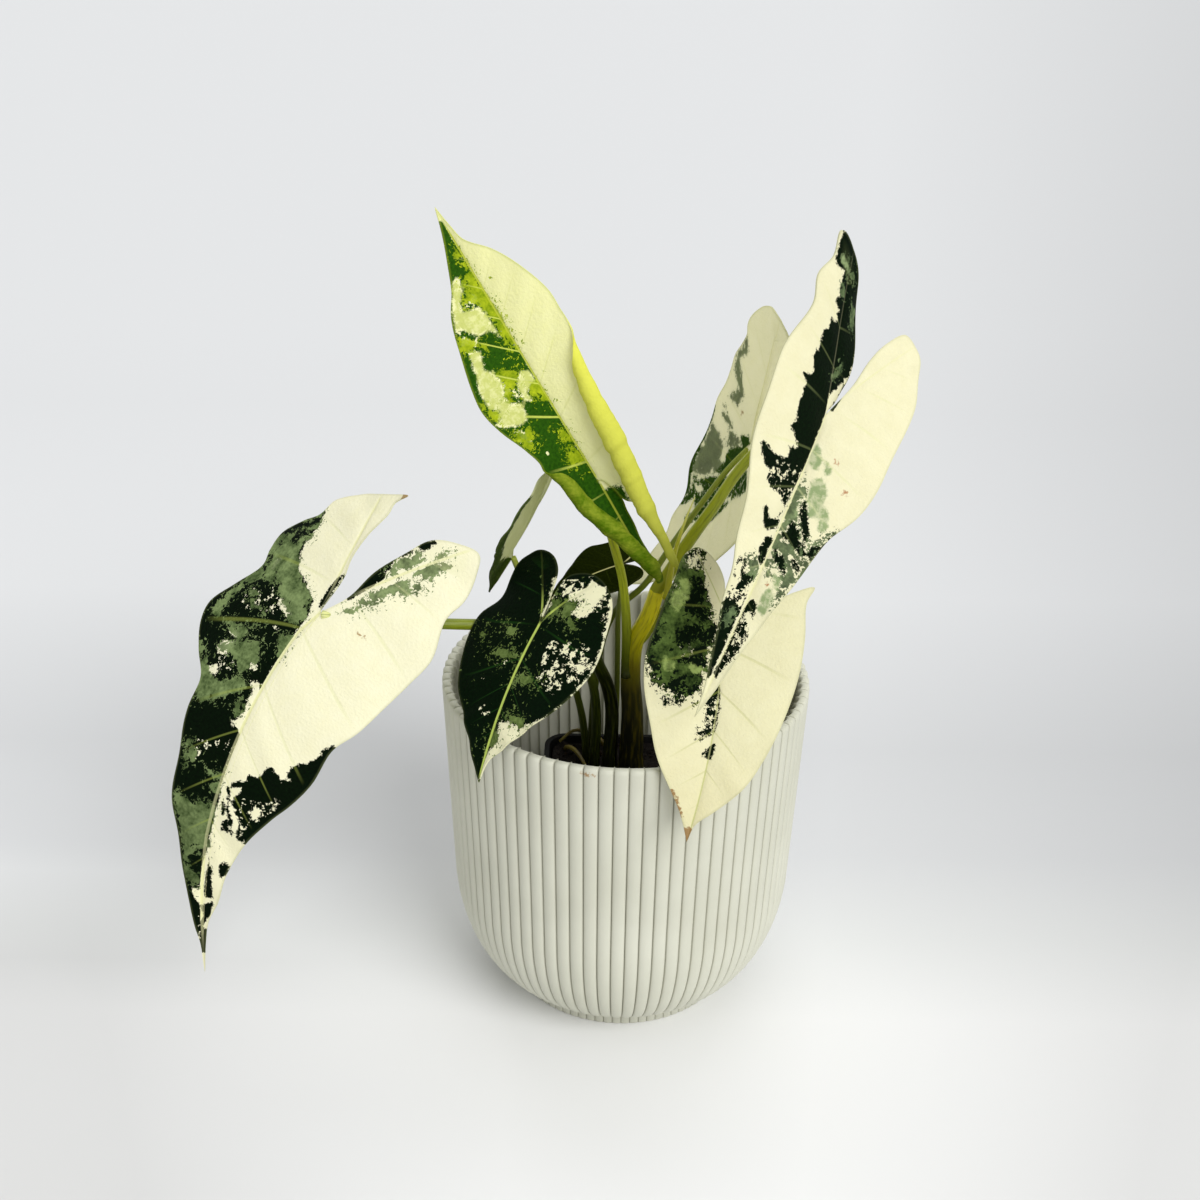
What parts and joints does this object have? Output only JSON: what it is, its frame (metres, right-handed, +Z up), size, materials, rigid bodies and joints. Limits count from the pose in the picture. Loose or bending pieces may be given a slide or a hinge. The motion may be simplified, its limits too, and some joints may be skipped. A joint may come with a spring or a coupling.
{
  "type": "potted houseplant",
  "caption": "Young variegated Alocasia Frydek, velvety arrow-shaped leaves in cream and dark green on arching stalks, in a ribbed round plastic cover pot.",
  "frame": {"origin": "centre of the flat foot of the cover pot, on the surface it stands on", "axes": "+Z up through the pot; -Y towards the side seen in front; +X to the right of that side"},
  "size_m": [0.2675, 0.1609, 0.3065],
  "materials": {
    "cover_pot_plastic": "matt moulded, warm grey-white",
    "nursery_pot_plastic": "black, slightly satin",
    "potting_soil": "matt, crumbly, damp",
    "leaf_tissue": "velvety upper face, waxy underside, cream and dark green",
    "stalk_tissue": "smooth, satin, yellow-green",
    "root_tissue": "smooth, matt"
  },
  "bodies": {
    "root": {"cover_pot": "cover_pot_plastic", "nursery_pot": "nursery_pot_plastic", "soil": "potting_soil", "leaf_a": "leaf_tissue", "leaf_b": "leaf_tissue", "leaf_c": "leaf_tissue", "leaf_d": "leaf_tissue", "leaf_e": "leaf_tissue", "leaf_f": "leaf_tissue", "leaf_h": "leaf_tissue", "leaf_j": "leaf_tissue", "stem": "stalk_tissue", "petiole_a": "stalk_tissue", "petiole_b": "stalk_tissue", "petiole_c": "stalk_tissue", "petiole_d": "stalk_tissue", "petiole_e": "stalk_tissue", "petiole_f": "stalk_tissue", "petiole_h": "stalk_tissue", "petiole_j": "stalk_tissue", "new_leaf_spike": "stalk_tissue", "aerial_root_1": "root_tissue", "aerial_root_2": "root_tissue"}
  },
  "joints": []
}
